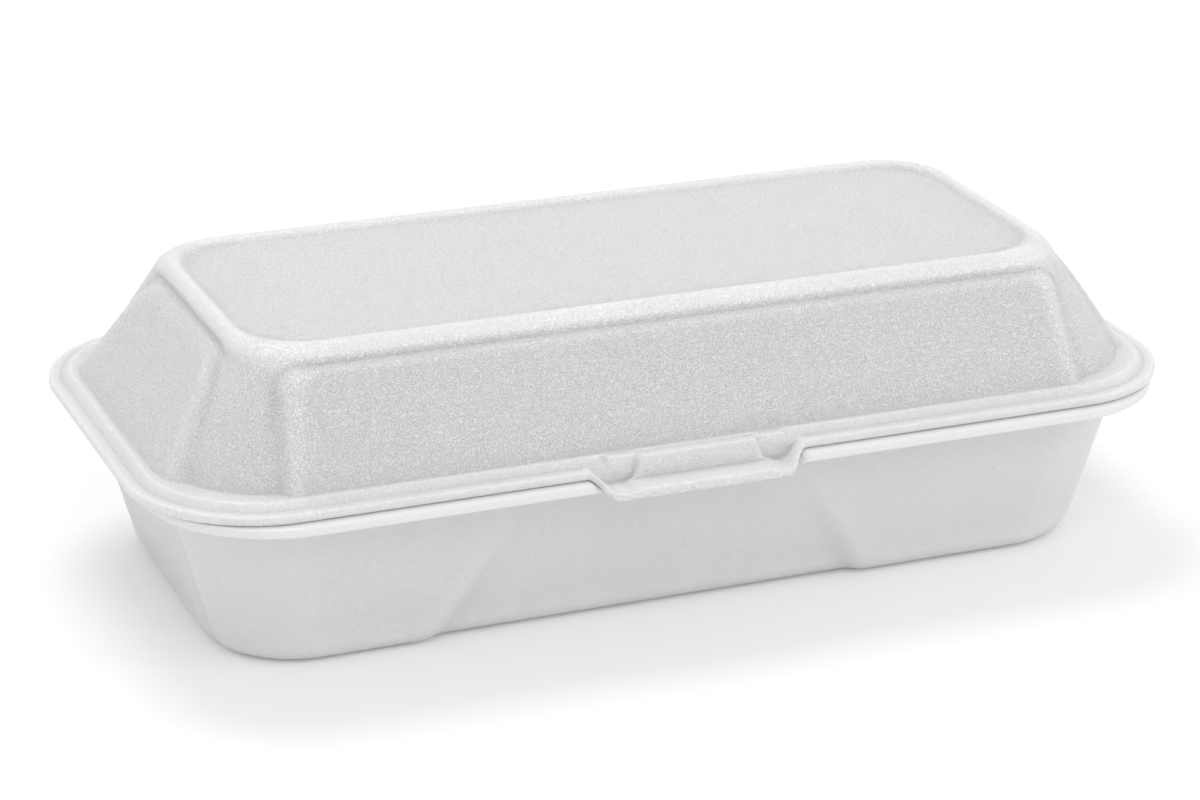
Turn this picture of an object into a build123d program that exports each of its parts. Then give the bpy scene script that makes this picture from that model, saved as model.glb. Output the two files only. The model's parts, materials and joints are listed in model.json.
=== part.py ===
"""Hinged foam takeout container: a deep tray and a raised lid, formed from one foam sheet.

The origin is the centre of the tray's floor, on the table. +X runs along the length, -Y is the
front with the lock tab, +Y is the hinge side and +Z is up. The lid is closed. Sizes are in mm.
"""

import os
from math import atan2, radians, sin, tan

from build123d import *

# Foam sheet
floor_sheet = 2.2
wall_sheet = 2.0
flange_sheet = 1.9
flange_edge_bevel = 0.5

# Flanges where the lid meets the tray
flange_length = 249.0
flange_width = 120.0
flange_corner = 30.0
closing_gap = 0.3
tray_flange_front_reach = 2.8
tray_flange_end_setback = 2.8

# Tray
tray_height = 40.1
mouth_end_setback = 8.0
mouth_side_setback = 6.0
mouth_corner = 25.0
wall_end_run = 9.5
wall_side_run = 7.5
floor_corner = 22.0
floor_round = 8.0
collar_height = 2.5
collar_reach = 1.6

# Recess in the tray's long walls, deepest at the floor
recess_depth = 2.2
recess_centre = -8.0
recess_floor_span = 102.0
recess_top_span = 74.0
recess_height = 34.0
recess_side_run = 5.0

# Lid rim and walls
lid_height = 30.7
ledge_rise = 1.5
flange_flat = 2.9
ledge_setback = 4.7
ledge_bevel = 0.5
rim_hollow_setback = 4.6
rim_hollow_lean = 2.0
foot_end_setback = 8.2
foot_side_setback = 7.6
foot_corner = 26.0

# Ridge around the lid's sunken top panel
ridge_height = 3.6
ridge_end_run = 16.0
ridge_side_run = 10.0
ridge_corner = 16.0
shoulder_drop = 1.1
shoulder_end_setback = 1.2
shoulder_side_setback = 2.8
crest_end_setback = 3.0
crest_side_setback = 6.0
crest_corner = 15.0
top_panel_end_setback = 5.3
top_panel_side_setback = 9.2
top_panel_corner = 15.0
top_panel_depth = 1.0
top_panel_edge_run = 1.8

# Raised panels on the lid's four sides
panel_rise = 1.4
panel_side_angle = 40.0
panel_edge_bevel = 0.6
panel_corner = 5.0
panel_sink = 1.2
panel_root = 1.5
side_panel_span = 186.0
end_panel_span = 66.0

# Lock tab at the front of the lid
tab_centre = -2.5
tab_span = 45.0
tab_reach = 4.7
tab_drop = 4.2
tab_shoulder = 4.5
tab_bend = 2.5
pocket_setback = 2.7

# Hollow catch in the middle of the tab, on its platform
catch_span = 32.0
catch_top_span = 28.4
catch_reach = 1.5
catch_lean = 0.6
catch_drop = 0.2
platform_rise = 0.5
platform_span = 31.0

# Latch lug and notch on the tray, under the tab
latch_clearance = 0.3
latch_setback = 7.5

# Living hinge: each flange thins to a strip that ends on the fold line
hinge_span = 176.0
hinge_reach = 3.0
hinge_sheet = 1.0
hinge_slit = 0.1
hinge_round = 0.4

# Heights and places that follow
tray_flange_bottom = tray_height - flange_sheet
lid_flange_bottom = tray_height + closing_gap
lid_flange_top = lid_flange_bottom + flange_sheet
ledge_level = lid_flange_top + ledge_rise
ridge_level = lid_flange_bottom + lid_height
ridge_foot = ridge_level - ridge_height
hinge_level = tray_height + closing_gap / 2
hinge_line = flange_width / 2 + hinge_reach
tongue_top = lid_flange_top - tab_drop
tongue_bottom = tongue_top - flange_sheet
flange_front = -flange_width / 2
pocket_wall = flange_front + pocket_setback
catch_top = ledge_level - catch_drop
latch_back = flange_front + latch_setback


def slab(length, width, corner, bottom, top, centre_y=0.0):
    """A rounded plate between two heights, with its outer edges bevelled."""
    with BuildPart() as plate:
        with BuildSketch(Plane.XY.offset(bottom)):
            with Locations((0, centre_y)):
                RectangleRounded(length, width, corner)
        extrude(amount=top - bottom)
        chamfer(plate.faces().filter_by(Plane.XY).edges(), flange_edge_bevel)
    return plate.part


def frustum(lower, upper):
    """A solid between two rounded rectangles, each given as (length, width, corner, height)."""
    with BuildPart() as body:
        for length, width, corner, height in (lower, upper):
            with BuildSketch(Plane.XY.offset(height)):
                RectangleRounded(length, width, corner)
        loft(ruled=True)
    return body.part


def block(span, front, back, bottom, top):
    """A box between two Y positions and two heights, centred at the origin along X."""
    with BuildPart() as box:
        with Locations((0, (front + back) / 2, (bottom + top) / 2)):
            Box(span, back - front, top - bottom)
    return box.part


def tray_outline(height, inset=0.0):
    """The tray walls' length, width, corner and height at a height, drawn in by an inset."""
    depth = 1 - height / tray_height
    length = flange_length - 2 * (mouth_end_setback + depth * wall_end_run)
    width = flange_width - 2 * (mouth_side_setback + depth * wall_side_run)
    corner = mouth_corner + depth * (floor_corner - mouth_corner)
    return (length - 2 * inset, width - 2 * inset, corner - inset, height)


def lid_outline(height, inset=0.0):
    """The lid walls' length, width, corner and height at a height, drawn in by an inset."""
    share = (height - ledge_level) / (ridge_foot - ledge_level)
    length = flange_length - 2 * (foot_end_setback + share * ridge_end_run)
    width = flange_width - 2 * (foot_side_setback + share * ridge_side_run)
    corner = foot_corner + share * (ridge_corner - foot_corner)
    return (length - 2 * inset, width - 2 * inset, corner - inset, height)


def ridge_outline(end_setback, side_setback, corner, height):
    """An outline set back from the foot of the ridge at its ends and sides, with its height."""
    length = flange_length - 2 * (foot_end_setback + ridge_end_run + end_setback)
    width = flange_width - 2 * (foot_side_setback + ridge_side_run + side_setback)
    return (length, width, corner, height)


def rim_outline(setback, height):
    """The lid flange's outline, set back from its edge, with its height."""
    return (flange_length - 2 * setback, flange_width - 2 * setback, flange_corner - setback, height)


def wall_recess(inset):
    """The wedge that sinks the middle of the tray's front wall."""
    with BuildPart() as wedge:
        for height, span, depth in (
            (0, recess_floor_span, recess_depth),
            (recess_height, recess_top_span, 0),
        ):
            wall = -tray_outline(height, inset)[1] / 2
            inner = span / 2 - recess_side_run + inset
            outer = span / 2 + recess_side_run + inset
            with BuildSketch(Plane.XY.offset(height)):
                with BuildLine():
                    Polyline(
                        (recess_centre - inner, wall + depth),
                        (recess_centre + inner, wall + depth),
                        (recess_centre + outer, wall - recess_depth),
                        (recess_centre - outer, wall - recess_depth),
                        close=True,
                    )
                make_face()
        loft(ruled=True)
    return wedge.part


def tray_form(inset, bottom):
    """The tray's walls and floor as a solid form, drawn in by an inset."""
    with BuildPart() as form:
        add(frustum(tray_outline(bottom, inset), tray_outline(tray_height, inset)))
        fillet(form.faces().sort_by(Axis.Z)[0].edges(), floor_round - inset)
        add(wall_recess(inset), mode=Mode.SUBTRACT)
        add(mirror(wall_recess(inset), about=Plane.XZ), mode=Mode.SUBTRACT)
    return form.part


def raised_panel(across, size, span, inset, top):
    """A soft-edged panel that stands proud of the lid's sloping wall on one side."""
    low = lid_outline(ledge_level, inset)
    high = lid_outline(top - ridge_height, inset)
    foot = across * (low[size] / 2) + Vector(0, 0, ledge_level)
    neck = across * (high[size] / 2) + Vector(0, 0, top - ridge_height)
    slope = neck - foot
    along = across.cross(slope)
    face = Plane(origin=(foot + neck) * 0.5, x_dir=along, z_dir=slope.cross(along))
    flare = panel_root * tan(radians(panel_side_angle))
    with BuildPart() as panel:
        with BuildSketch(face.offset(-panel_root)):
            with Locations((0, panel_sink / 2)):
                RectangleRounded(
                    span - 2 * inset + 2 * flare,
                    slope.length + panel_sink + 2 * flare,
                    panel_corner + flare,
                )
        extrude(amount=panel_root + panel_rise, taper=panel_side_angle)
        outer = panel.faces().sort_by(Axis(face.origin, face.z_dir))[-1]
        chamfer(outer.edges(), panel_edge_bevel)
    return panel.part


def lid_form(inset, bottom, top):
    """The lid's walls, side panels and ridge as a solid form, drawn in by an inset."""
    neck = lid_outline(top - ridge_height, inset)
    shoulder_corner = (ridge_corner + crest_corner) / 2 - inset
    shoulder = ridge_outline(
        shoulder_end_setback + inset, shoulder_side_setback + inset, shoulder_corner, top - shoulder_drop
    )
    crest = ridge_outline(crest_end_setback + inset, crest_side_setback + inset, crest_corner - inset, top)
    with BuildPart() as form:
        add(frustum(lid_outline(bottom, inset), neck))
        add(frustum(neck, shoulder))
        add(frustum(shoulder, crest))
        for across, size, span, opposite in (
            (Vector(0, -1, 0), 1, side_panel_span, Plane.XZ),
            (Vector(-1, 0, 0), 0, end_panel_span, Plane.YZ),
        ):
            panel = raised_panel(across, size, span, inset, top)
            add(panel)
            add(mirror(panel, about=opposite))
    return form.part


def tab_knees():
    """Half spans of the lock tab's bends, on the sheet's upper side and on its lower side."""
    upper = (tab_span / 2, tab_span / 2 + tab_shoulder)
    spread = flange_sheet * tan(atan2(tab_drop, tab_shoulder) / 2)
    return upper, (upper[0] + spread, upper[1] + spread)


def tab_wedge(gap, front, back):
    """A block under the dipped lock tab's bends, between two Y positions, with a gap at each end."""
    lower = tab_knees()[1]
    with BuildPart() as wedge:
        with BuildSketch(Plane.XZ.offset(-back)):
            with BuildLine():
                Polyline(
                    (-lower[1] - gap, lid_flange_top),
                    (-lower[1] - gap, lid_flange_bottom),
                    (-lower[0] - gap, tongue_bottom),
                    (lower[0] + gap, tongue_bottom),
                    (lower[1] + gap, lid_flange_bottom),
                    (lower[1] + gap, lid_flange_top),
                    close=True,
                )
            make_face()
        extrude(amount=back - front)
    return wedge.part


def tab_sheet():
    """The lid's flange where it dips and steps out as the lock tab."""
    upper, lower = tab_knees()
    end = lower[1] + tab_bend
    tab_front = flange_front - tab_reach
    with BuildPart() as dip:
        with BuildSketch(Plane.XZ.offset(-pocket_wall)):
            with BuildLine():
                Polyline(
                    (-end, lid_flange_top),
                    (-upper[1], lid_flange_top),
                    (-upper[0], tongue_top),
                    (upper[0], tongue_top),
                    (upper[1], lid_flange_top),
                    (end, lid_flange_top),
                    (end, lid_flange_bottom),
                    (lower[1], lid_flange_bottom),
                    (lower[0], tongue_bottom),
                    (-lower[0], tongue_bottom),
                    (-lower[1], lid_flange_bottom),
                    (-end, lid_flange_bottom),
                    close=True,
                )
            make_face()
        extrude(amount=tab_reach + pocket_setback)
        add(block(platform_span, tab_front, pocket_wall, tongue_top, tongue_top + platform_rise))
        with BuildSketch(Plane.XY.offset(tongue_bottom)) as plan:
            with BuildLine():
                Polyline(
                    (-end, pocket_wall),
                    (-end, flange_front),
                    (-upper[1], flange_front),
                    (-upper[0], tab_front),
                    (upper[0], tab_front),
                    (upper[1], flange_front),
                    (end, flange_front),
                    (end, pocket_wall),
                    close=True,
                )
            make_face()
            bends = plan.vertices().filter_by(lambda v: abs(v.X) < end - tab_bend / 2)
            fillet(bends, tab_bend)
        extrude(amount=lid_flange_top - tongue_bottom, mode=Mode.INTERSECT)
    return dip.part


def tab_pocket():
    """The space over the tab that the lid's flange is dipped out of."""
    upper, lower = tab_knees()
    with BuildPart() as space:
        with BuildSketch(Plane.XZ.offset(-pocket_wall)):
            with BuildLine():
                Polyline(
                    (-upper[1], lid_flange_top),
                    (-upper[0], tongue_top),
                    (upper[0], tongue_top),
                    (upper[1], lid_flange_top),
                    (upper[1], ledge_level),
                    (-upper[1], ledge_level),
                    close=True,
                )
            make_face()
        extrude(amount=tab_reach + pocket_setback)
    return space.part


def catch_form(inset, back):
    """The lock tab's raised catch above its tongue, drawn in by an inset."""
    front = pocket_wall - catch_reach + inset
    with BuildPart() as form:
        for height, span, edge in (
            (tongue_top, catch_span, front),
            (catch_top - inset, catch_top_span, front + catch_lean),
        ):
            with BuildSketch(Plane.XY.offset(height)):
                with Locations((0, (edge + back) / 2)):
                    Rectangle(span - 2 * inset, back - edge)
        loft(ruled=True)
    return form.part


def rim_step():
    """The lid rim's sloping band and the ledge on top of it."""
    with BuildPart() as step:
        add(frustum(rim_outline(flange_flat, lid_flange_top), rim_outline(ledge_setback, ledge_level)))
        chamfer(step.faces().sort_by(Axis.Z)[-1].edges(), ledge_bevel)
    return step.part


def hinge_strip(bottom, top):
    """The thinned strip that carries a flange out to the fold line."""
    root = flange_width / 2 - flange_sheet
    with BuildPart() as strip:
        add(block(hinge_span, root, hinge_line, bottom, top))
        outer = strip.faces().sort_by(Axis.Y)[-1]
        fillet(outer.edges().filter_by(Axis.X), hinge_round)
    return strip.part


# Tray: floor, walls, flange with a notch and a latch lug under the lock tab, and hinge strip
with BuildPart() as tray:
    add(tray_form(0, 0))
    collar_foot = tray_outline(tray_flange_bottom - collar_height)
    add(frustum(collar_foot, tray_outline(tray_flange_bottom, -collar_reach)))
    add(
        slab(
            flange_length - 2 * tray_flange_end_setback,
            flange_width + tray_flange_front_reach,
            flange_corner,
            tray_flange_bottom,
            tray_height,
            -tray_flange_front_reach / 2,
        )
    )
    notch_gap = latch_clearance / sin(atan2(tab_drop, tab_shoulder))
    notch_span = 2 * (tab_knees()[1][0] + notch_gap)
    notch_front = flange_front - tab_reach
    notch_back = pocket_wall + flange_sheet + latch_clearance
    notch_bottom = tray_flange_bottom - collar_height
    with Locations((tab_centre, 0)):
        add(tab_wedge(notch_gap, notch_front, notch_back), mode=Mode.SUBTRACT)
        add(block(notch_span, notch_front, notch_back, notch_bottom, tongue_bottom), mode=Mode.SUBTRACT)
        add(catch_form(flange_sheet + latch_clearance, latch_back))
    add(tray_form(wall_sheet, floor_sheet), mode=Mode.SUBTRACT)
    hinge_top = hinge_level - hinge_slit / 2
    add(hinge_strip(hinge_top - hinge_sheet, hinge_top))

# Lid: stepped rim, sloping walls with raised panels, ridge, sunken top panel, lock tab, hinge strip
with BuildPart() as lid:
    add(slab(flange_length, flange_width, flange_corner, lid_flange_bottom, lid_flange_top))
    add(rim_step())
    add(lid_form(0, lid_flange_bottom, ridge_level))
    panel_level = ridge_level - top_panel_depth
    end_edge = top_panel_end_setback - top_panel_edge_run
    side_edge = top_panel_side_setback - top_panel_edge_run
    add(
        frustum(
            ridge_outline(top_panel_end_setback, top_panel_side_setback, top_panel_corner, panel_level),
            ridge_outline(end_edge, side_edge, top_panel_corner, ridge_level),
        ),
        mode=Mode.SUBTRACT,
    )
    pocket_inner = pocket_wall + flange_sheet
    catch_front = pocket_wall - catch_reach
    with Locations((tab_centre, 0)):
        add(tab_pocket(), mode=Mode.SUBTRACT)
        add(tab_sheet())
        add(tab_wedge(0, pocket_wall, pocket_inner))
        add(block(tab_span, pocket_wall, pocket_inner, lid_flange_top, ledge_level))
        add(catch_form(0, pocket_inner))
        add(catch_form(flange_sheet, latch_back), mode=Mode.SUBTRACT)
        add(
            block(
                catch_span - 2 * flange_sheet,
                catch_front + flange_sheet,
                latch_back,
                tongue_bottom,
                tongue_top,
            ),
            mode=Mode.SUBTRACT,
        )
    hollow_foot = rim_outline(rim_hollow_setback, lid_flange_bottom)
    hollow_crown = rim_outline(rim_hollow_setback + rim_hollow_lean, ledge_level - flange_sheet)
    add(frustum(hollow_foot, hollow_crown), mode=Mode.SUBTRACT)
    add(lid_form(wall_sheet, lid_flange_bottom, panel_level - floor_sheet), mode=Mode.SUBTRACT)
    hinge_bottom = hinge_level + hinge_slit / 2
    add(hinge_strip(hinge_bottom, hinge_bottom + hinge_sheet))

tray.part.label = "tray"
lid.part.label = "lid"

os.makedirs("parts", exist_ok=True)
export_step(tray.part, "parts/tray.step")
export_step(lid.part, "parts/lid.step")
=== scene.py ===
"""Looks of the hinged foam takeout container: tray, lid and the fold between them, in foam.

Lengths are in millimetres until a mesh is made, and the origin, axes and places are the frame's.
Each shell is a stack of closed rings, from the middle of its outer side to the middle of its inner side.
"""

import json
from math import cos, exp, pi, radians, sin, tan

import bmesh
import bpy
import numpy as np
from mathutils import Matrix, Vector


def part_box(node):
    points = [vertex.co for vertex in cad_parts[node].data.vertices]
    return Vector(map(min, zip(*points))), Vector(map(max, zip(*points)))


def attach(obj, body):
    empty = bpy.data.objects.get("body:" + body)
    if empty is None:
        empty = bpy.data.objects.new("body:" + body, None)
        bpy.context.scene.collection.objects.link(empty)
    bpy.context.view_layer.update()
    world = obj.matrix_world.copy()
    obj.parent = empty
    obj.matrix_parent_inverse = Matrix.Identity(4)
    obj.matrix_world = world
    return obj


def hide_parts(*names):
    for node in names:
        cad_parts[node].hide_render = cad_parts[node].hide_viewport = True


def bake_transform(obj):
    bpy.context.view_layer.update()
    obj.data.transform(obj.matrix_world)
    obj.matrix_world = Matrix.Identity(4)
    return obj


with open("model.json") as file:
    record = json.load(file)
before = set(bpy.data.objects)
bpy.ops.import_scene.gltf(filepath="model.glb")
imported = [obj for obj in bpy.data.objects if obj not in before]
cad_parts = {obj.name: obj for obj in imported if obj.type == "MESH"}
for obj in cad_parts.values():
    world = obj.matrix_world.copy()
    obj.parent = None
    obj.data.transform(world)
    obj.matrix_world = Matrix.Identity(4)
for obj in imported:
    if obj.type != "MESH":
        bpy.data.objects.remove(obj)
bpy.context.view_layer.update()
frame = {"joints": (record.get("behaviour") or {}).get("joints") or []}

MM = 0.001

# Places read from the frame
lid_low, lid_high = (np.array(corner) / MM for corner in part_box("lid"))
tray_low, tray_high = (np.array(corner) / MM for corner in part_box("tray"))
hinge = frame["joints"][0]
hinge_line = hinge["pos_m"][1] / MM
hinge_level = hinge["pos_m"][2] / MM
top_level = lid_high[2]
flange_end = lid_high[0]
tray_flange_end = tray_high[0]
tray_flange_front = -tray_low[1]
tab_front = -lid_low[1]

# Foam sheet, the solids' closing gap, and the narrower one seen between the rims here
floor_sheet = 2.2
wall_sheet = 2.0
flange_sheet = 1.9
edge_round = 0.6
closing_gap = 0.3
seen_gap = 0.12

# Flanges
flange_side = 60.0
flange_corner = 30.0
tray_top = hinge_level - closing_gap / 2
tray_flange_low = tray_top - flange_sheet
lid_flange_top = hinge_level + closing_gap / 2 + flange_sheet
lid_flange_low = hinge_level + seen_gap / 2

# Tray walls, as half lengths, half widths and corner radii
floor_half = (107.0, 46.5)
mouth_half = (116.5, 54.0)
floor_corner = 22.0
mouth_corner = 25.0
floor_round = 6.0
collar_height = 2.5
collar_reach = 1.6

# Recess in the tray's long walls
recess_depth = 2.2
recess_centre = -8.0
recess_floor_half = 54.6
recess_top_half = 35.0
recess_height = 34.0
recess_run = 4.2

# Shallow hollow in the tray's ends, between their corners
end_hollow_depth = 0.7
end_hollow_half = 34.0
end_hollow_run = 3.0
end_hollow_fade = 8.0

# Lid rim and walls
ledge_level = lid_flange_top + 1.5
flange_flat = 2.9
ledge_setback = 4.7
hollow_setback = 4.6
hollow_lean = 2.0
foot_half = (116.3, 52.4)
foot_corner = 26.0
foot_round = 0.6
foot_spread = 0.7

# Ridge and top panel
neck_half = (100.3, 42.4)
neck_corner = 16.0
neck_level = top_level - 3.6
crease_half = (95.0, 33.2)
crease_corner = 15.0
crease_margin = 2.0
end_run_decay = 0.133
ceiling_round = 3.2
ceiling_lean = 0.6
ceiling_margin = 1.0
panel_drop = 1.0
groove_top = top_level - 1.4
groove_foot = top_level - 6.0
side_groove = 1.2
end_groove = 0.4
groove_rise = 2.4
groove_fade = 9.0
groove_overrun = 3.0

# Raised panels on the lid's walls
panel_rise = 1.4
panel_lift = 0.8
panel_slant = radians(40)
panel_top_slant = radians(15)
side_panel_half = (95.6, 91.8)
end_panel_half = (38.5, 26.5)
side_panel_corner = 5.0
end_panel_corner = 9.0
panel_edge = 1.4
panel_valley = 0.7
panel_reach = 9.0
wall_cosine = 0.88

# Lock tab, pockets and catch
tab_centre = -2.5
dip_centre = -3.4
dip_flat_half = 20.4
dip_outer_half = 26.2
pocket_half = 21.4
pocket_blend = 1.2
tongue_top = lid_flange_top - 4.2
tongue_low = tongue_top - flange_sheet
pocket_wall = flange_side - 2.7
catch_foot = pocket_wall + 1.5
catch_brow = pocket_wall + 0.9
catch_top = ledge_level - 0.2
catch_foot_half = 17.6
catch_top_half = 14.8
catch_blend = 2.6
platform_rise = 0.5
platform_half = 16.2

# Latch lug and notch on the tray
latch_clearance = 0.3
lug_inset = flange_sheet + latch_clearance
notch_fade = 0.3

# Living hinge
hinge_half = 88.0
hinge_sheet = 1.0
hinge_slit = 0.1
fold_blend = 2.0
fold_inner_share = 0.5

# Sampling of the rings
STEP = 1.5
FINE_STEP = 0.3
FINE_ZONE = (12.0, 30.0)
HELD_ZONE = 62.0
CORNER_STEPS = 40
END_STEPS = 36
BACK_STEPS = 110
CORNER_POINTS = 5
CORNER_REACH = 0.45
HALVINGS = 26
SHOULDER_SPAN = 6.0
SHOULDER_STEP = 0.3
WALL_STEP = 1.3
INNER_STEP = 1.6
FOOT_STEPS = 6
CEILING_STEPS = 8
FLOOR_ROUND_STEPS = 9
TRAY_WALL_STEPS = 20
FOLD_TURNS = 17
FOLD_STATIONS = 60
CROWN_SHARES = (0.02, 0.2, 0.4, 0.6, 0.8, 0.93, 1.0)
CEILING_SHARES = (1.0, 0.9, 0.7, 0.4, 0.02)
FLOOR_SHARES = (0.02, 0.2, 0.4, 0.6, 0.75, 0.85)

# Skin: the bend per millimetre that counts as full, painted as highlight on convex edges and as shade in
# creases, how much calmer some places' grain is, and how much painted highlight the rims and ridge get
FULL_BEND = 0.10
BEND_ROUNDS = 6
BEND_SPREAD = 0.6
LEAST_EDGE = 0.02
TOP_CALM = 0.1
RIM_CALM = 0.8
RIM_HIGHLIGHT = 0.3
RIDGE_HIGHLIGHT = 0.25
RIM_FOOT = (0.6, 0.8)
RIM_TOP = (1.2, 1.6)
RIDGE_FOOT = (2.6, 1.2)
CREASE_RUN = 0.8

# Foam's tints, from painted shade in creases to painted highlight on edges, grain, mottle and waves
DARK_TINT = (0.69, 0.69, 0.695, 1)
LIGHT_TINT = (0.965, 0.965, 0.97, 1)
TINT_RANGE = (-0.75, 1.25)
GRAIN_SCALE = 1700.0
GRAIN_WIDTH = 0.09
STROKE_HIGHLIGHT_SHARE = 0.75
GRAIN_HEIGHT = 0.0002
MOTTLE_SCALE = 70.0
MOTTLE_SHARE = 0.25
WAVE_SCALE = 140.0
WAVE_STRENGTH = 0.35
WAVE_HEIGHT = 0.0004

# Paper floor and pale light
PAPER_COLOR = (0.90, 0.90, 0.90, 1)
WHITE = (1, 1, 1, 1)
PAPER_GLOW = 0.14
WORLD_LIGHT = 0.73
FLOOR_REACH = 6.0


def smooth(value):
    """A step from 0 to 1 with a soft start and end."""
    value = np.clip(value, 0, 1)
    return value * value * (3 - 2 * value)


def soft_max(first, second, width):
    """The larger of two distances, rounded over where they meet."""
    near = np.maximum(width - np.abs(first - second), 0) / width
    return np.maximum(first, second) + near * near * width / 4


def soft_min(first, second, width):
    """The smaller of two distances, rounded over where they meet."""
    return -soft_max(-first, -second, width)


def tab_dip(x):
    """How far the flange has run down into the lock tab, from 0 beside it to 1 across it."""
    return smooth((dip_outer_half - np.abs(x - dip_centre)) / (dip_outer_half - dip_flat_half))


def front_stations():
    """X places along the front side of the neck's ring, closer together at the lock tab's ends."""
    reach = neck_half[0] - neck_corner
    places = [-reach]
    while places[-1] < reach - STEP:
        distance = abs(places[-1] - tab_centre)
        fine = FINE_ZONE[0] - STEP < distance < FINE_ZONE[1]
        places.append(places[-1] + (FINE_STEP if fine else STEP))
    return np.array(places + [reach])


FRONT = front_stations()
FRONT_COUNT = len(FRONT)
ARC = np.linspace(0, pi / 2, CORNER_STEPS + 1)[1:-1]
BACK = slice(
    FRONT_COUNT + 2 * len(ARC) + END_STEPS + 1,
    FRONT_COUNT + 2 * len(ARC) + END_STEPS + 1 + BACK_STEPS + 1,
)


def along_front(straight):
    """The front stations on a ring whose straight side has this half length."""
    reach = FRONT[-1]
    if straight <= reach:
        return FRONT * straight / reach
    beyond = np.abs(FRONT) - HELD_ZONE
    stretched = HELD_ZONE + beyond * (straight - HELD_ZONE) / (reach - HELD_ZONE)
    return np.where(beyond > 0, np.sign(FRONT) * stretched, FRONT)


def ring(half, corner, level, centre_y=0.0):
    """Points round a rounded rectangle, anticlockwise from the front's left end."""
    corner = max(corner, 0.0)
    straight, side = half[0] - corner, half[1] - corner
    front_x = along_front(straight)
    end_y = np.linspace(-side, side, END_STEPS + 1)
    back_x = np.linspace(straight, -straight, BACK_STEPS + 1)
    sine, cosine = corner * np.sin(ARC), corner * np.cos(ARC)
    x = np.concatenate([
        front_x,
        straight + sine,
        np.full(END_STEPS + 1, half[0]),
        straight + cosine,
        back_x,
        -straight - sine,
        np.full(END_STEPS + 1, -half[0]),
        -straight - cosine,
    ])
    y = np.concatenate([
        np.full(FRONT_COUNT, -half[1]),
        -side - cosine,
        end_y,
        side + sine,
        np.full(BACK_STEPS + 1, half[1]),
        side + cosine,
        -end_y,
        -side - sine,
    ])
    return np.column_stack([x, y + centre_y, np.full(len(x), level)])


def ring_normals():
    """The outward direction at each point of any ring."""
    sine, cosine = np.sin(ARC), np.cos(ARC)
    front = np.tile([0.0, -1.0], (FRONT_COUNT, 1))
    right = np.tile([1.0, 0.0], (END_STEPS + 1, 1))
    back = np.tile([0.0, 1.0], (BACK_STEPS + 1, 1))
    return np.concatenate([
        front,
        np.column_stack([sine, -cosine]),
        right,
        np.column_stack([cosine, sine]),
        back,
        np.column_stack([-sine, cosine]),
        -right,
        np.column_stack([-cosine, -sine]),
    ])


NORMALS = ring_normals()


def rounded(corners):
    """A section's points: each corner (out, level, radius) drawn as a short curve."""
    spots = [np.array(corner[:2]) for corner in corners]
    points = [spots[0]]
    share = np.linspace(0, 1, CORNER_POINTS)[:, None]
    for before, spot, after, corner in zip(spots, spots[1:], spots[2:], corners[1:]):
        back_way, on_way = before - spot, after - spot
        back_length, on_length = np.linalg.norm(back_way), np.linalg.norm(on_way)
        reach = min(corner[2], CORNER_REACH * back_length, CORNER_REACH * on_length)
        start = spot + back_way * reach / back_length
        end = spot + on_way * reach / on_length
        points.extend((1 - share) ** 2 * start + 2 * share * (1 - share) * spot + share**2 * end)
    points.append(spots[-1])
    return np.array(points)


def disc(half, corner, level, shares):
    """Rings that fill a flat area towards its middle, for the given shares of its size."""
    return [ring((half[0] * share, half[1] * share), corner * share, level) for share in shares]


def shell(name, rings, body, grain_and_highlight_strength):
    """A closed mesh from a stack of rings, on its body in place of the node."""
    stack = np.array(rings)
    count, around = stack.shape[:2]
    first = stack[0].mean(axis=0)
    last = stack[-1].mean(axis=0)
    points = np.vstack([stack.reshape(-1, 3), first, last]) * MM
    here = np.arange(count - 1)[:, None] * around + np.arange(around)
    beside = np.arange(count - 1)[:, None] * around + (np.arange(around) + 1) % around
    quads = np.stack([here, here + around, beside + around, beside], axis=-1).reshape(-1, 4)
    start, end = count * around, count * around + 1
    faces = quads.tolist()
    base = (count - 1) * around
    for place in range(around):
        after = (place + 1) % around
        faces.append([start, place, after])
        faces.append([end, base + after, base + place])
    mesh = bpy.data.meshes.new(name)
    mesh.from_pydata(points.tolist(), [], faces)
    return finish_piece(name, mesh, body, grain_and_highlight_strength)


def rim_ridge_highlight_and_calm(places):
    """How much painted highlight the rims and the band round the ridge get, also used to calm their
    grain.
    """
    level = places[:, 2]
    above_foot = smooth((level - tray_flange_low + RIM_FOOT[0]) / RIM_FOOT[1])
    below_top = smooth((ledge_level + RIM_TOP[0] - level) / RIM_TOP[1])
    past_end, past_side = (np.abs(places[:, axis]) - crease_half[axis] for axis in (0, 1))
    past_crease = np.maximum(past_end, past_side)
    ridge = smooth((level - top_level + RIDGE_FOOT[0]) / RIDGE_FOOT[1]) * smooth(past_crease / CREASE_RUN)
    return RIM_HIGHLIGHT * (above_foot * below_top) + RIDGE_HIGHLIGHT * ridge


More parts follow.
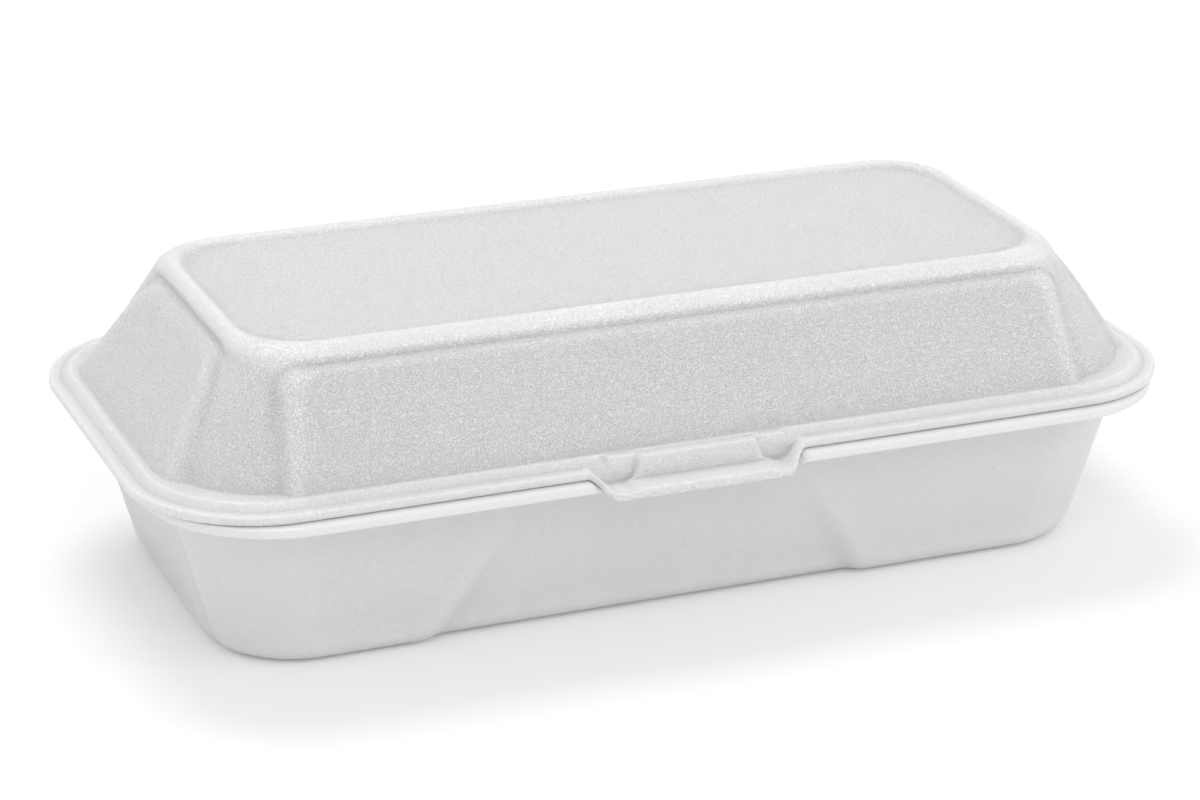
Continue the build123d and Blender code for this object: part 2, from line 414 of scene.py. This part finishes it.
def paint_skin(mesh, grain_and_highlight_strength):
    """Stores at each point of a mesh how far the skin bends out or in, as painted highlight on convex
    edges and painted shade in creases, and how strong its grain is.
    """
    count = len(mesh.vertices)
    places, normals = np.empty(count * 3), np.empty(count * 3)
    mesh.vertices.foreach_get("co", places)
    mesh.vertex_normals.foreach_get("vector", normals)
    ends = np.empty(len(mesh.edges) * 2, dtype=int)
    mesh.edges.foreach_get("vertices", ends)
    first, second = ends.reshape(-1, 2).T
    places, normals = places.reshape(-1, 3) / MM, normals.reshape(-1, 3)
    # Curvature along each edge, painted into the colour: convex edges get a painted highlight, creases
    # and hollows painted shade.
    way = places[second] - places[first]
    length = np.maximum(np.linalg.norm(way, axis=1), LEAST_EDGE)
    turn = ((normals[second] - normals[first]) * way).sum(axis=1) / length**2
    total = np.bincount(first, length, count) + np.bincount(second, length, count)
    turned = turn * length
    bend_shading = (np.bincount(first, turned, count) + np.bincount(second, turned, count)) / total
    bend_shading = np.clip(bend_shading / FULL_BEND, -1, grain_and_highlight_strength)
    # Painted highlight on the rims and round the ridge, full on the lid and none on the tray.
    bend_shading += rim_ridge_highlight_and_calm(places) * (2 * grain_and_highlight_strength - 1)
    beside = np.bincount(first, minlength=count) + np.bincount(second, minlength=count)
    for _ in range(BEND_ROUNDS):
        shared = np.bincount(first, bend_shading[second], count) + np.bincount(second, bend_shading[first], count)
        bend_shading = (1 - BEND_SPREAD) * bend_shading + BEND_SPREAD * shared / beside
    mesh.attributes.new("bend_shading", "FLOAT", "POINT").data.foreach_set("value", bend_shading)
    grain = grain_and_highlight_strength * (1 - TOP_CALM * normals[:, 2] ** 4) * (1 - RIM_CALM * rim_ridge_highlight_and_calm(places))
    mesh.attributes.new("grain", "FLOAT", "POINT").data.foreach_set("value", grain)


def finish_piece(name, mesh, body=None, grain_and_highlight_strength=0.5):
    """An object for a mesh: normals outward, smooth shading and the foam finish."""
    shaped = bmesh.new()
    shaped.from_mesh(mesh)
    bmesh.ops.recalc_face_normals(shaped, faces=shaped.faces)
    shaped.to_mesh(mesh)
    shaped.free()
    mesh.shade_smooth()
    paint_skin(mesh, grain_and_highlight_strength)
    mesh.materials.append(foam)
    piece = bpy.data.objects.new(name, mesh)
    bpy.context.scene.collection.objects.link(piece)
    if body:
        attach(piece, body)
    return piece


def between(low, high, share):
    """A value or a pair part of the way from low to high."""
    low, high = np.array(low), np.array(high)
    return low + (high - low) * share


def tray_wall(level, inset=0.0):
    """Half sizes and corner radius of the tray's wall at a height, drawn in by an inset."""
    share = level / tray_top
    half = between(floor_half, mouth_half, share) - inset
    return half, between(floor_corner, mouth_corner, share) - inset


def wall_share(level):
    """How far up the lid's wall a height is, from 0 at the ledge to 1 at the neck."""
    return (level - ledge_level) / (neck_level - ledge_level)


def lid_wall(level, inset=0.0):
    """Half sizes and corner radius of the lid's wall at a height, drawn in by an inset."""
    share = wall_share(level)
    half = between(foot_half, neck_half, share) - inset
    return half, between(foot_corner, neck_corner, share) - inset


def panel_distance(along, rise, down, level, half, corner, inset):
    """Distance outside a raised panel, for points along it, proud of the wall and down from the neck."""
    span = between(half[0], half[1], wall_share(level)) - inset
    held = np.maximum(rise, -panel_rise)
    side = (np.abs(along) - span + held * tan(panel_slant)) * cos(panel_slant)
    top = (held * tan(panel_top_slant) - down - panel_lift + inset) * cos(panel_top_slant)
    return soft_max(soft_max(side, top, corner), rise - panel_rise, panel_edge)


def groove(points, level, inset=0.0):
    """How far a ring of the ridge is drawn in above each raised panel."""
    deep = smooth((groove_top - level) / groove_rise) * smooth((level - groove_foot) / groove_rise)
    past_side = side_panel_half[1] + groove_overrun - np.abs(points[:, 0])
    past_end = end_panel_half[1] + groove_overrun - np.abs(points[:, 1])
    at_side = smooth(past_side / groove_fade) * NORMALS[:, 1] ** 2
    at_end = smooth(past_end / groove_fade) * NORMALS[:, 0] ** 2
    return deep * (side_groove * at_side + end_groove * at_end) * (inset == 0)


def lid_wall_ring(level, inset=0.0, flare=0.0):
    """The lid's wall at a height, with its raised panels, moved out by a flare."""
    half, corner = lid_wall(level, inset)
    neck = np.array(neck_half) - inset
    lean = np.arctan2(np.array(foot_half) - neck_half, neck_level - ledge_level)
    base = ring(half, corner, level)
    base[:, :2] -= NORMALS * groove(base, level, inset)[:, None]
    low = np.zeros(len(base))
    high = np.full(len(base), panel_reach)
    for _ in range(HALVINGS):
        step = (low + high) / 2
        x = base[:, 0] + NORMALS[:, 0] * step
        y = base[:, 1] + NORMALS[:, 1] * step
        side_rise = (np.abs(y) - half[1]) * cos(lean[1])
        side_down = (np.abs(y) - neck[1]) * sin(lean[1]) + (neck_level - level) * cos(lean[1])
        end_rise = step * cos(lean[0])
        end_down = step * sin(lean[0]) + (neck_level - level) / cos(lean[0])
        side = panel_distance(x, side_rise, side_down, level, side_panel_half, side_panel_corner, inset)
        end = panel_distance(y, end_rise, end_down, level, end_panel_half, end_panel_corner, inset)
        inside = soft_min(step * wall_cosine, np.minimum(side, end), panel_valley) < 0
        low = np.where(inside, step, low)
        high = np.where(inside, high, step)
    base[:, :2] += NORMALS * (low + flare)[:, None]
    return base


def crown_rings():
    """The top panel and the ridge round it, from the middle out to the neck."""
    crease = np.array(crease_half)
    floor = top_level - panel_drop
    rings = disc(crease - crease_margin, crease_corner - crease_margin, floor, CROWN_SHARES)
    profile = (
        (-0.9, 0.0), (-0.3, 0.03), (0.2, 0.12), (0.7, 0.33), (1.2, 0.58), (1.7, 0.80), (2.2, 0.94),
        (2.7, 1.0), (3.2, 0.99), (3.8, 0.90), (4.4, 0.74), (5.0, 0.52), (5.6, 0.26), (6.1, 0.0),
        (6.6, -0.31), (7.1, -0.66), (7.6, -1.05), (8.0, -1.39), (8.4, -1.75), (8.8, -2.13), (9.1, -2.45),
    )
    side_run, end_run = neck_half[1] - crease_half[1], neck_half[0] - crease_half[0]
    for out, rise in profile:
        end_out = end_run * (1 - exp(-end_run_decay * out)) / (1 - exp(-end_run_decay * side_run))
        corner = crease_corner + (neck_corner - crease_corner) * out / side_run
        points = ring((crease_half[0] + end_out, crease_half[1] + out), corner, floor + rise)
        points[:, :2] -= NORMALS * groove(points, floor + rise)[:, None]
        rings.append(points)
    return rings


def wall_levels():
    """Heights of the rings down the lid's wall, closer together at the panels' tops and at the foot."""
    shoulder = np.arange(0.1, SHOULDER_SPAN, SHOULDER_STEP)
    middle = np.arange(SHOULDER_SPAN, neck_level - ledge_level - 1.2, WALL_STEP)
    return neck_level - np.concatenate([shoulder, middle])


def foot_rings():
    """The rounded corner where the lid's wall runs out into the ledge."""
    rings = []
    for angle in np.linspace(0, pi / 2, FOOT_STEPS):
        level = ledge_level + foot_round * (1 - sin(angle))
        rings.append(lid_wall_ring(level, flare=foot_round * (1 - cos(angle)) * foot_spread))
    return rings


def rim_sections():
    """Sections of the lid's rim: plain, in a pocket, through the catch, and at the hinge."""
    ledge = (flange_side - ledge_setback, ledge_level, 0.7)
    slope_foot = flange_side - flange_flat
    hollow = flange_side - hollow_setback
    crown = (hollow - hollow_lean, ledge_level - flange_sheet, 0.6)
    inner = pocket_wall - flange_sheet
    start = (flange_side - ledge_setback - 0.8, ledge_level, 0)
    end = (crown[0] - 2.2, crown[1] + 0.5, 0)
    platform = tongue_top + platform_rise
    catch_inner = catch_foot - flange_sheet
    strip_top = hinge_level + hinge_slit / 2 + hinge_sheet
    strip_low = hinge_level + hinge_slit / 2
    plain = rounded([
        start,
        ledge,
        (slope_foot, lid_flange_top, 0.7),
        (slope_foot + 0.9, lid_flange_top, 0.2),
        (slope_foot + 1.6, lid_flange_top, 0.2),
        (flange_side, lid_flange_top, edge_round),
        (flange_side, lid_flange_low, edge_round),
        (hollow + 0.6, lid_flange_low, 0.2),
        (hollow, lid_flange_low, 0.3),
        crown,
        end,
    ])
    pocket = rounded([
        start,
        (pocket_wall - 1.2, ledge_level, 0.2),
        (pocket_wall, ledge_level, 0.5),
        (pocket_wall + 0.1, tongue_top, 0.6),
        (pocket_wall + 1.5, tongue_top, 0.2),
        (tab_front, tongue_top, edge_round),
        (tab_front, tongue_low, edge_round),
        (inner, tongue_low, 0.4),
        (inner, lid_flange_low, 0.4),
        crown,
        end,
    ])
    catch = rounded([
        start,
        (flange_side - ledge_setback, ledge_level, 0.4),
        (flange_side - ledge_setback + 0.6, catch_top, 0.4),
        (catch_brow, catch_top, 0.5),
        (catch_foot, platform, 0.5),
        (tab_front, platform, edge_round),
        (tab_front, tongue_low, edge_round),
        (catch_inner, tongue_low, 0.4),
        (catch_inner - 0.5, catch_top - flange_sheet, 0.4),
        (crown[0] + 0.4, catch_top - flange_sheet, 0.3),
        end,
    ])
    fold = rounded([
        start,
        ledge,
        (slope_foot, lid_flange_top, 0.7),
        (flange_side - 1.0, lid_flange_top, 0.5),
        (flange_side + 0.2, strip_top, 0.5),
        (hinge_line, strip_top, 0.3),
        (hinge_line, strip_low, 0.3),
        (hollow + 0.6, strip_low, 0.2),
        (hollow, lid_flange_low, 0.3),
        crown,
        end,
    ])
    return plain, pocket, catch, fold


def rim_rings():
    """The lid's rim from the ledge round the flange's edge and up into its hollow."""
    plain, pocket, catch, fold = rim_sections()
    tab_x = np.abs(FRONT - tab_centre)
    into_dip = tab_dip(FRONT)
    into_wall = smooth((pocket_half + pocket_blend / 2 - tab_x) / pocket_blend)
    back_x = np.abs(ring((flange_end, flange_side), flange_corner, 0)[BACK, 0])
    into_fold = smooth((hinge_half + fold_blend / 2 - back_x) / fold_blend)
    first_dip = 1 + 2 * CORNER_POINTS
    first_tongue = 1 + 4 * CORNER_POINTS
    first_inner = 1 + 6 * CORNER_POINTS
    rings = []
    for place, (out, level) in enumerate(plain):
        setback = flange_side - out
        corner = flange_corner - setback
        points = ring((flange_end - setback, out), corner, level)
        height = np.clip((catch[place][1] - tongue_top) / (catch_top - tongue_top), 0, 1)
        half = between(catch_foot_half, catch_top_half, height)
        if place >= first_tongue:
            half = platform_half
        if place >= first_inner:
            half = catch_foot_half - flange_sheet
        into_catch = smooth((half + catch_blend / 2 - tab_x) / catch_blend)
        into_pocket = into_wall if place < first_dip else into_dip
        for axis, sign in ((0, -1), (1, 1)):
            low = sign * plain[place][axis]
            side = sign * pocket[place][axis]
            full = sign * catch[place][axis]
            moved = low + (side - low) * into_pocket + (full - side) * into_catch
            points[:FRONT_COUNT, axis + 1] = moved
        points[BACK, 1] += (fold[place][0] - out) * into_fold
        points[BACK, 2] += (fold[place][1] - level) * into_fold
        rings.append(points)
    return rings


def lid_inner_rings():
    """The lid's inner side, from its rim's hollow up to the middle of its ceiling."""
    ceiling = top_level - panel_drop - floor_sheet
    rings = []
    for level in np.arange(ledge_level - 0.7, ceiling - ceiling_round, INNER_STEP):
        rings.append(lid_wall_ring(level, wall_sheet))
    side_run, end_run = neck_half[1] - crease_half[1], neck_half[0] - crease_half[0]
    half, corner = lid_wall(ceiling - ceiling_round, wall_sheet)
    for angle in np.linspace(0, pi / 2, CEILING_STEPS):
        taken = (1 - cos(angle)) * np.array((end_run, side_run)) * ceiling_lean
        rings.append(ring(half - taken, corner - taken[0], ceiling - ceiling_round * (1 - sin(angle))))
    flat_half, flat_corner = half - taken - ceiling_margin, corner - taken[0] - ceiling_margin
    return rings + disc(flat_half, flat_corner, ceiling, CEILING_SHARES)


def make_lid():
    """The lid in one closed skin, from the middle of its top round the rim to its ceiling."""
    rings = crown_rings()
    rings += [lid_wall_ring(level) for level in wall_levels()]
    rings += foot_rings() + rim_rings() + lid_inner_rings()
    lid = shell("lid_shell", rings, "lid", 1.0)
    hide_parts("lid")


def sink_recess(points, level, inset=0.0):
    """Moves a tray ring's long sides in at the recess, and its ends in at their shallow hollow."""
    share = np.clip(level / recess_height, 0, 1)
    half = recess_floor_half + (recess_top_half - recess_floor_half) * share
    sunk = recess_depth * (1 - share)
    inside = smooth((half + inset - np.abs(points[:, 0] - recess_centre)) / recess_run)
    points[:, 1] -= NORMALS[:, 1] * sunk * inside
    across = smooth((end_hollow_half - np.abs(points[:, 1])) / end_hollow_run)
    fade = smooth((tray_flange_low - collar_height - level) / end_hollow_fade)
    points[:, 0] -= NORMALS[:, 0] * end_hollow_depth * across * fade
    return points


def tray_foot_rings(inset, bottom, radius):
    """The rounded edge between the tray's floor and its walls, floor first."""
    half, corner = tray_wall(bottom, inset)
    lean = np.arctan2(np.array(mouth_half) - floor_half, tray_top)
    reach = radius * np.tan(pi / 4 - lean / 2)
    rings = []
    for share in np.linspace(0, 1, FLOOR_ROUND_STEPS):
        turn = (pi / 2 - lean) * share
        out = half - reach + radius * np.sin(turn)
        level = bottom + radius * (1 - np.cos(turn.mean()))
        points = ring(out, corner + (out - half).mean(), level)
        rings.append(sink_recess(points, level, inset))
    return rings


def tray_sections():
    """Sections of the tray's rim: plain, in the tab's notch, through the latch lug, and at the hinge."""
    collar_low = tray_flange_low - collar_height
    wall = tray_wall(collar_low)[0][1]
    wall_top = tray_wall(tray_flange_low)[0][1]
    inner = mouth_half[1] - wall_sheet
    tray_seat = hinge_level - seen_gap / 2
    start = (tray_wall(collar_low - 0.8)[0][1], collar_low - 0.8, 0)
    end = (tray_wall(tray_top - 3, wall_sheet)[0][1], tray_top - 3, 0)
    collar = (wall_top + collar_reach, tray_flange_low, 0.7)
    notch_back = pocket_wall - flange_sheet - latch_clearance
    lug_front = catch_foot - lug_inset
    lug_brow = catch_brow - lug_inset
    lug_top = catch_top - lug_inset
    strip_top = hinge_level - hinge_slit / 2
    strip_low = strip_top - hinge_sheet
    plain = rounded([
        start,
        (wall, collar_low, 0.8),
        collar,
        (tray_flange_front - 2.4, tray_flange_low - 0.1, 0.2),
        (tray_flange_front, tray_flange_low - 0.1, 0.4),
        (tray_flange_front, tray_seat, edge_round),
        (tray_flange_front - 2.4, tray_seat, 0.2),
        (inner, tray_seat, 0.5),
        end,
    ])
    notch = rounded([
        start,
        (wall, collar_low, 0.8),
        (notch_back - 0.4, tray_flange_low - 0.4, 0.3),
        (notch_back, tray_flange_low, 0.3),
        (notch_back, tray_flange_low + 0.7, 0.3),
        (notch_back, tray_top, 0.4),
        (notch_back - 1, tray_top, 0.2),
        (inner, tray_top, 0.5),
        end,
    ])
    lug = rounded([
        start,
        (wall, collar_low, 0.8),
        (notch_back, tray_flange_low - 0.2, 0.3),
        (lug_front, tongue_top, 0.3),
        (lug_front - 0.3, tongue_top + 1.2, 0.3),
        (lug_brow, lug_top, 0.5),
        (inner + 0.8, lug_top, 0.5),
        (inner + 0.1, tray_top - 0.4, 0.5),
        end,
    ])
    fold = rounded([
        start,
        (wall, collar_low, 0.8),
        collar,
        (flange_side - 1, tray_flange_low, 0.4),
        (flange_side + 0.2, strip_low, 0.4),
        (hinge_line, strip_low, 0.3),
        (hinge_line, strip_top, 0.3),
        (inner, strip_top, 0.5),
        end,
    ])
    return plain, notch, lug, fold


def tray_rim_rings():
    """The tray's rim from its collar round the flange's edge to the top of its inner wall."""
    plain, notch, lug, fold = tray_sections()
    tab_x = np.abs(FRONT - tab_centre)
    back_x = np.abs(ring((flange_end, flange_side), flange_corner, 0)[BACK, 0])
    into_fold = smooth((hinge_half + fold_blend / 2 - back_x) / fold_blend)
    wall_places = 1 + CORNER_POINTS
    edge_places = (1 + 2 * CORNER_POINTS, 1 + 6 * CORNER_POINTS)
    rings = []
    for place, (out, level) in enumerate(plain):
        if edge_places[0] <= place < edge_places[1]:
            setback = tray_flange_front - out
            half_width = flange_side + (tray_flange_front - flange_side) / 2 - setback
            half = (tray_flange_end - setback, half_width)
            corner = flange_corner - setback
            centre_y = -(tray_flange_front - flange_side) / 2
        else:
            inner = place >= edge_places[1]
            reference, corner = tray_wall(min(level, tray_top), wall_sheet if inner else 0.0)
            extra = out - reference[1]
            half = (reference[0] + extra, out)
            corner = corner + extra
            centre_y = 0.0
        points = ring(half, corner, level, centre_y)
        height = np.clip((lug[place][1] - tongue_top) / (catch_top - tongue_top), 0, 1)
        half_span = between(catch_foot_half, catch_top_half, height) - lug_inset
        into_lug = smooth((half_span + catch_blend / 2 - tab_x) / catch_blend)
        underside = lid_flange_low + (tongue_low - lid_flange_low) * tab_dip(FRONT)
        into_notch = smooth((level + notch_fade - underside) / notch_fade)
        if place > wall_places:
            for axis, sign in ((0, -1), (1, 1)):
                low = points[:FRONT_COUNT, axis + 1]
                side = sign * notch[place][axis]
                full = sign * lug[place][axis]
                moved = low + (side - low) * into_notch + (full - side) * into_lug
                points[:FRONT_COUNT, axis + 1] = moved
            points[BACK, 1] += (fold[place][0] - points[BACK, 1]) * into_fold
            points[BACK, 2] += (fold[place][1] - level) * into_fold
        rings.append(points)
    return rings


def floor_rings(half, corner, level, shares, inset=0.0):
    """Rings of the tray's floor: the recess fades out towards the middle, so that no ring folds over."""
    rings = []
    for share, plain in zip(shares, disc(half, corner, level, shares)):
        sunk = sink_recess(plain.copy(), level, inset)
        rings.append(plain + (sunk - plain) * share)
    return rings


def make_tray():
    """The tray in one closed skin, from the middle of its underside round the rim to its floor."""
    foot = tray_foot_rings(0.0, 0.0, floor_round)
    half, corner = tray_wall(0.0)
    inner_half, inner_corner = tray_wall(floor_sheet, wall_sheet)
    rings = floor_rings(half - floor_round, corner - floor_round, 0.0, FLOOR_SHARES)
    rings += foot
    wall_start = foot[-1][0, 2]
    collar_low = tray_flange_low - collar_height
    for level in np.linspace(wall_start, collar_low - 1.4, TRAY_WALL_STEPS)[1:]:
        rings.append(sink_recess(ring(*tray_wall(level), level), level))
    rings += tray_rim_rings()
    inner_foot = tray_foot_rings(wall_sheet, floor_sheet, floor_round - wall_sheet)
    inner_start = inner_foot[-1][0, 2]
    for level in np.linspace(tray_top - 4, inner_start, TRAY_WALL_STEPS)[:-1]:
        rings.append(sink_recess(ring(*tray_wall(level, wall_sheet), level), level, wall_sheet))
    rings += inner_foot[::-1]
    inner_corner -= floor_round
    shares = FLOOR_SHARES[::-1]
    rings += floor_rings(inner_half - floor_round, inner_corner, floor_sheet, shares, wall_sheet)
    tray = shell("tray_shell", rings, "tray", 0.5)
    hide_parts("tray")


def make_fold():
    """The foam of the living hinge, bent round the fold line behind the two strips."""
    outer = hinge_sheet + hinge_slit / 2
    inner = fold_inner_share * outer
    turns = np.linspace(-pi / 2, pi / 2, FOLD_TURNS)
    outline = [(outer * cos(turn), outer * sin(turn)) for turn in turns]
    outline += [(inner * cos(turn), inner * sin(turn)) for turn in turns[::-1]]
    stations = np.linspace(-hinge_half, hinge_half, FOLD_STATIONS)
    points = [
        Vector((x, hinge_line + out, hinge_level + up)) * MM
        for x in stations
        for out, up in outline
    ]
    around = len(outline)
    faces = [list(range(around)), list(range(around * (len(stations) - 1), around * len(stations)))]
    for station in range(len(stations) - 1):
        for place in range(around):
            after = (place + 1) % around
            here = station * around
            faces.append([here + place, here + after, here + around + after, here + around + place])
    mesh = bpy.data.meshes.new("hinge_fold")
    mesh.from_pydata(points, [], faces)
    fold = finish_piece("hinge_fold", mesh)
    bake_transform(fold)


class Nodes:
    """Short calls for building a node tree."""

    def __init__(self, tree):
        self.tree = tree
        tree.nodes.clear()

    def add(self, kind, **inputs):
        node = self.tree.nodes.new(kind)
        for name, value in inputs.items():
            self.give(node, name, value)
        return node

    def give(self, node, name, value):
        socket = node.inputs[name]
        if isinstance(value, bpy.types.NodeSocket):
            self.tree.links.new(value, socket)
        else:
            socket.default_value = value

    def math(self, operation, first, second=0.0):
        node = self.tree.nodes.new("ShaderNodeMath")
        node.operation = operation
        self.give(node, 0, first)
        self.give(node, 1, second)
        return node.outputs[0]


def foam_material():
    """Expanded foam: a soft white sheet with a skin of short raised strokes and gentle waves."""
    material = bpy.data.materials.new("foam")
    material.use_nodes = True
    nodes = Nodes(material.node_tree)
    place = nodes.add("ShaderNodeTexCoord").outputs["Object"]
    bend_shading = nodes.add("ShaderNodeAttribute")
    bend_shading.attribute_name = "bend_shading"
    strength = nodes.add("ShaderNodeAttribute")
    strength.attribute_name = "grain"
    grain = nodes.add("ShaderNodeTexNoise", Vector=place, Scale=GRAIN_SCALE, Detail=0.5, Distortion=0.4)
    off_middle = nodes.math("ABSOLUTE", nodes.math("SUBTRACT", grain.outputs["Fac"], 0.5))
    worms = nodes.add("ShaderNodeMapRange", Value=off_middle)
    worms.interpolation_type = "SMOOTHSTEP"
    nodes.give(worms, "From Max", GRAIN_WIDTH)
    nodes.give(worms, "To Min", 1.0)
    nodes.give(worms, "To Max", 0.0)
    mottle = nodes.add("ShaderNodeTexNoise", Vector=place, Scale=MOTTLE_SCALE, Detail=3.0)
    strokes = nodes.math("MULTIPLY", worms.outputs[0], strength.outputs["Fac"])
    # Painted highlight along the grain's raised strokes.
    stroke_highlight = nodes.math("MULTIPLY", strokes, STROKE_HIGHLIGHT_SHARE)
    mottled = nodes.math("MULTIPLY", mottle.outputs["Fac"], MOTTLE_SHARE)
    varied = nodes.math("ADD", mottled, stroke_highlight)
    # Tint from the painted shading: painted shade in creases, painted highlight on convex edges, rims and
    # ridge, with random mottle and the strokes' painted highlight.
    share = nodes.add("ShaderNodeMapRange", Value=nodes.math("ADD", varied, bend_shading.outputs["Fac"]))
    nodes.give(share, "From Min", TINT_RANGE[0])
    nodes.give(share, "From Max", TINT_RANGE[1])
    tint = nodes.add("ShaderNodeMix", Factor=share.outputs[0])
    tint.data_type = "RGBA"
    nodes.give(tint, 6, DARK_TINT)
    nodes.give(tint, 7, LIGHT_TINT)
    waves = nodes.add("ShaderNodeTexNoise", Vector=place, Scale=WAVE_SCALE, Detail=2.0)
    fine = nodes.add(
        "ShaderNodeBump",
        Strength=strength.outputs["Fac"],
        Distance=GRAIN_HEIGHT,
        Height=worms.outputs[0],
    )
    soft = nodes.add(
        "ShaderNodeBump",
        Strength=WAVE_STRENGTH,
        Distance=WAVE_HEIGHT,
        Height=waves.outputs["Fac"],
        Normal=fine.outputs["Normal"],
    )
    shader = nodes.add("ShaderNodeBsdfPrincipled", Roughness=0.4, Normal=soft.outputs["Normal"])
    nodes.give(shader, "Base Color", tint.outputs[2])
    nodes.give(shader, "Subsurface Weight", 0.4)
    nodes.give(shader, "Subsurface Radius", (1.0, 1.0, 1.0))
    nodes.give(shader, "Subsurface Scale", 0.002)
    nodes.give(shader, "Specular IOR Level", 0.45)
    nodes.add("ShaderNodeOutputMaterial", Surface=shader.outputs["BSDF"])
    return material


def floor_material():
    """White paper: it bounces light as a pale floor, and the camera sees its lit parts as white."""
    material = bpy.data.materials.new("paper")
    material.use_nodes = True
    nodes = Nodes(material.node_tree)
    paper = nodes.add("ShaderNodeBsdfDiffuse", Color=PAPER_COLOR)
    glow = nodes.add("ShaderNodeEmission", Color=WHITE, Strength=PAPER_GLOW)
    lifted = nodes.add("ShaderNodeAddShader")
    nodes.tree.links.new(paper.outputs[0], lifted.inputs[0])
    nodes.tree.links.new(glow.outputs[0], lifted.inputs[1])
    seen = nodes.add("ShaderNodeLightPath")
    chosen = nodes.add("ShaderNodeMixShader", Fac=seen.outputs["Is Camera Ray"])
    nodes.tree.links.new(paper.outputs[0], chosen.inputs[1])
    nodes.tree.links.new(lifted.outputs[0], chosen.inputs[2])
    nodes.add("ShaderNodeOutputMaterial", Surface=chosen.outputs[0])
    return material


def make_floor():
    """The plain floor that the container stands on."""
    mesh = bpy.data.meshes.new("floor")
    reach = FLOOR_REACH
    mesh.from_pydata(
        [(-reach, -reach, 0), (reach, -reach, 0), (reach, reach, 0), (-reach, reach, 0)],
        [],
        [(0, 1, 2, 3)],
    )
    mesh.materials.append(floor_material())
    floor = bpy.data.objects.new("floor", mesh)
    bpy.context.scene.collection.objects.link(floor)


def make_world():
    """Even pale light from all round, seen by the camera as white."""
    world = bpy.data.worlds.new("studio")
    world.use_nodes = True
    bpy.context.scene.world = world
    nodes = Nodes(world.node_tree)
    seen = nodes.add("ShaderNodeLightPath")
    lit = nodes.add("ShaderNodeBackground", Color=WHITE, Strength=WORLD_LIGHT)
    white = nodes.add("ShaderNodeBackground", Color=WHITE, Strength=1.0)
    chosen = nodes.add("ShaderNodeMixShader", Fac=seen.outputs["Is Camera Ray"])
    nodes.tree.links.new(lit.outputs[0], chosen.inputs[1])
    nodes.tree.links.new(white.outputs[0], chosen.inputs[2])
    nodes.add("ShaderNodeOutputWorld", Surface=chosen.outputs[0])


def make_lamp(name, place, size, power):
    """A square softbox that faces the container."""
    light = bpy.data.lights.new(name, "AREA")
    light.size = size
    light.energy = power
    lamp = bpy.data.objects.new(name, light)
    lamp.location = place
    lamp.rotation_euler = (Vector((0, 0, 0.03)) - Vector(place)).to_track_quat("-Z", "Y").to_euler()
    bpy.context.scene.collection.objects.link(lamp)


def make_camera():
    """The photograph's view: where the camera stands, how it is turned, and its lens."""
    azimuth, elevation, roll = radians(-22.8), radians(21.67), radians(0.84)
    place = Vector((-303.71, -718.33, 342.53)) * MM
    lens = 107.465
    back = Vector((sin(azimuth) * cos(elevation), -cos(azimuth) * cos(elevation), sin(elevation)))
    level = Vector((cos(azimuth), sin(azimuth), 0))
    upright = back.cross(level)
    right = cos(roll) * level + sin(roll) * upright
    up = cos(roll) * upright - sin(roll) * level
    data = bpy.data.cameras.new("camera")
    data.sensor_width = 36.0
    data.lens = lens
    data.clip_start = 0.01
    camera = bpy.data.objects.new("camera", data)
    turn = Matrix((right, up, back)).transposed().to_4x4()
    camera.matrix_world = Matrix.Translation(place) @ turn
    bpy.context.scene.collection.objects.link(camera)
    bpy.context.scene.camera = camera


foam = foam_material()
make_lid()
make_tray()
make_fold()
make_floor()
make_world()
make_lamp("overhead", (-0.1, 0.55, 1.2), 0.6, 4.6)
make_lamp("front_fill", (-0.3, -1.1, 1.3), 0.8, 2.6)
make_lamp("right_side", (1.1, -0.6, 0.5), 0.6, 2.2)
make_camera()
bpy.context.scene.view_settings.view_transform = "Standard"
